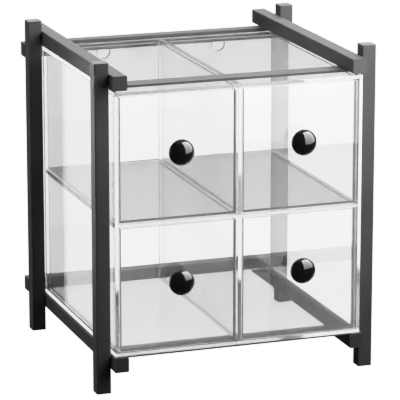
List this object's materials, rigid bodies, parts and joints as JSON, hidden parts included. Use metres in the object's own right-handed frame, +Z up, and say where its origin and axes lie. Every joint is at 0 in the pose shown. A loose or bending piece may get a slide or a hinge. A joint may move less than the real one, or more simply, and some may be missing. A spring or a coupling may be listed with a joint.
{
  "type": "bread display case",
  "caption": "Countertop bread display case: a clear acrylic cabinet of pull-out drawers with round black knobs, standing in an open frame of black square tubes.",
  "frame": {"origin": "on the surface it stands on, under the middle of the whole object's box", "axes": "+Z up; the drawers open towards -Y; +X is to the right of someone facing the drawers"},
  "size_m": [0.381, 0.3906, 0.4333],
  "materials": {
    "powder_coated_steel": "black powder coat, satin",
    "cap_plastic": "black moulded plastic, satin like the bars",
    "clear_acrylic": "clear cast acrylic sheet with polished edges",
    "knob_plastic": "black phenolic plastic, high gloss",
    "zinc_plated_steel": "zinc plated"
  },
  "bodies": {
    "case_in_frame": {"post_front_left": "powder_coated_steel", "post_front_right": "powder_coated_steel", "post_rear_left": "powder_coated_steel", "post_rear_right": "powder_coated_steel", "top_rail_left": "powder_coated_steel", "top_rail_right": "powder_coated_steel", "bottom_rail_left": "powder_coated_steel", "bottom_rail_right": "powder_coated_steel", "rear_cross_rail_top": "powder_coated_steel", "rear_cross_rail_bottom": "powder_coated_steel", "front_strap_top": "powder_coated_steel", "front_strap_bottom": "powder_coated_steel", "post_top_caps": "cap_plastic", "post_foot_caps": "cap_plastic", "side_rail_caps": "cap_plastic", "cross_rail_caps": "cap_plastic", "case_top_panel": "clear_acrylic", "case_bottom_panel": "clear_acrylic", "case_left_panel": "clear_acrylic", "case_right_panel": "clear_acrylic", "case_shelf": "clear_acrylic", "case_divider_upper": "clear_acrylic", "case_divider_lower": "clear_acrylic", "case_back_panel": "clear_acrylic"},
    "drawer_upper_left": {"drawer_upper_left_front": "clear_acrylic", "drawer_upper_left_floor": "clear_acrylic", "drawer_upper_left_left_wall": "clear_acrylic", "drawer_upper_left_right_wall": "clear_acrylic", "drawer_upper_left_back_wall": "clear_acrylic", "drawer_upper_left_knob": "knob_plastic", "drawer_upper_left_knob_screw": "zinc_plated_steel"},
    "drawer_upper_right": {"drawer_upper_right_front": "clear_acrylic", "drawer_upper_right_floor": "clear_acrylic", "drawer_upper_right_left_wall": "clear_acrylic", "drawer_upper_right_right_wall": "clear_acrylic", "drawer_upper_right_back_wall": "clear_acrylic", "drawer_upper_right_knob": "knob_plastic", "drawer_upper_right_knob_screw": "zinc_plated_steel"},
    "drawer_lower_left": {"drawer_lower_left_front": "clear_acrylic", "drawer_lower_left_floor": "clear_acrylic", "drawer_lower_left_left_wall": "clear_acrylic", "drawer_lower_left_right_wall": "clear_acrylic", "drawer_lower_left_back_wall": "clear_acrylic", "drawer_lower_left_knob": "knob_plastic", "drawer_lower_left_knob_screw": "zinc_plated_steel"},
    "drawer_lower_right": {"drawer_lower_right_front": "clear_acrylic", "drawer_lower_right_floor": "clear_acrylic", "drawer_lower_right_left_wall": "clear_acrylic", "drawer_lower_right_right_wall": "clear_acrylic", "drawer_lower_right_back_wall": "clear_acrylic", "drawer_lower_right_knob": "knob_plastic", "drawer_lower_right_knob_screw": "zinc_plated_steel"}
  },
  "joints": [
    {"name": "drawer_upper_left_slide", "type": "slide", "parent": "case_in_frame", "child": "drawer_upper_left", "axis": [0, -1, 0], "range_m": [0, 0.27]},
    {"name": "drawer_upper_right_slide", "type": "slide", "parent": "case_in_frame", "child": "drawer_upper_right", "axis": [0, -1, 0], "range_m": [0, 0.27]},
    {"name": "drawer_lower_left_slide", "type": "slide", "parent": "case_in_frame", "child": "drawer_lower_left", "axis": [0, -1, 0], "range_m": [0, 0.27]},
    {"name": "drawer_lower_right_slide", "type": "slide", "parent": "case_in_frame", "child": "drawer_lower_right", "axis": [0, -1, 0], "range_m": [0, 0.27]}
  ]
}
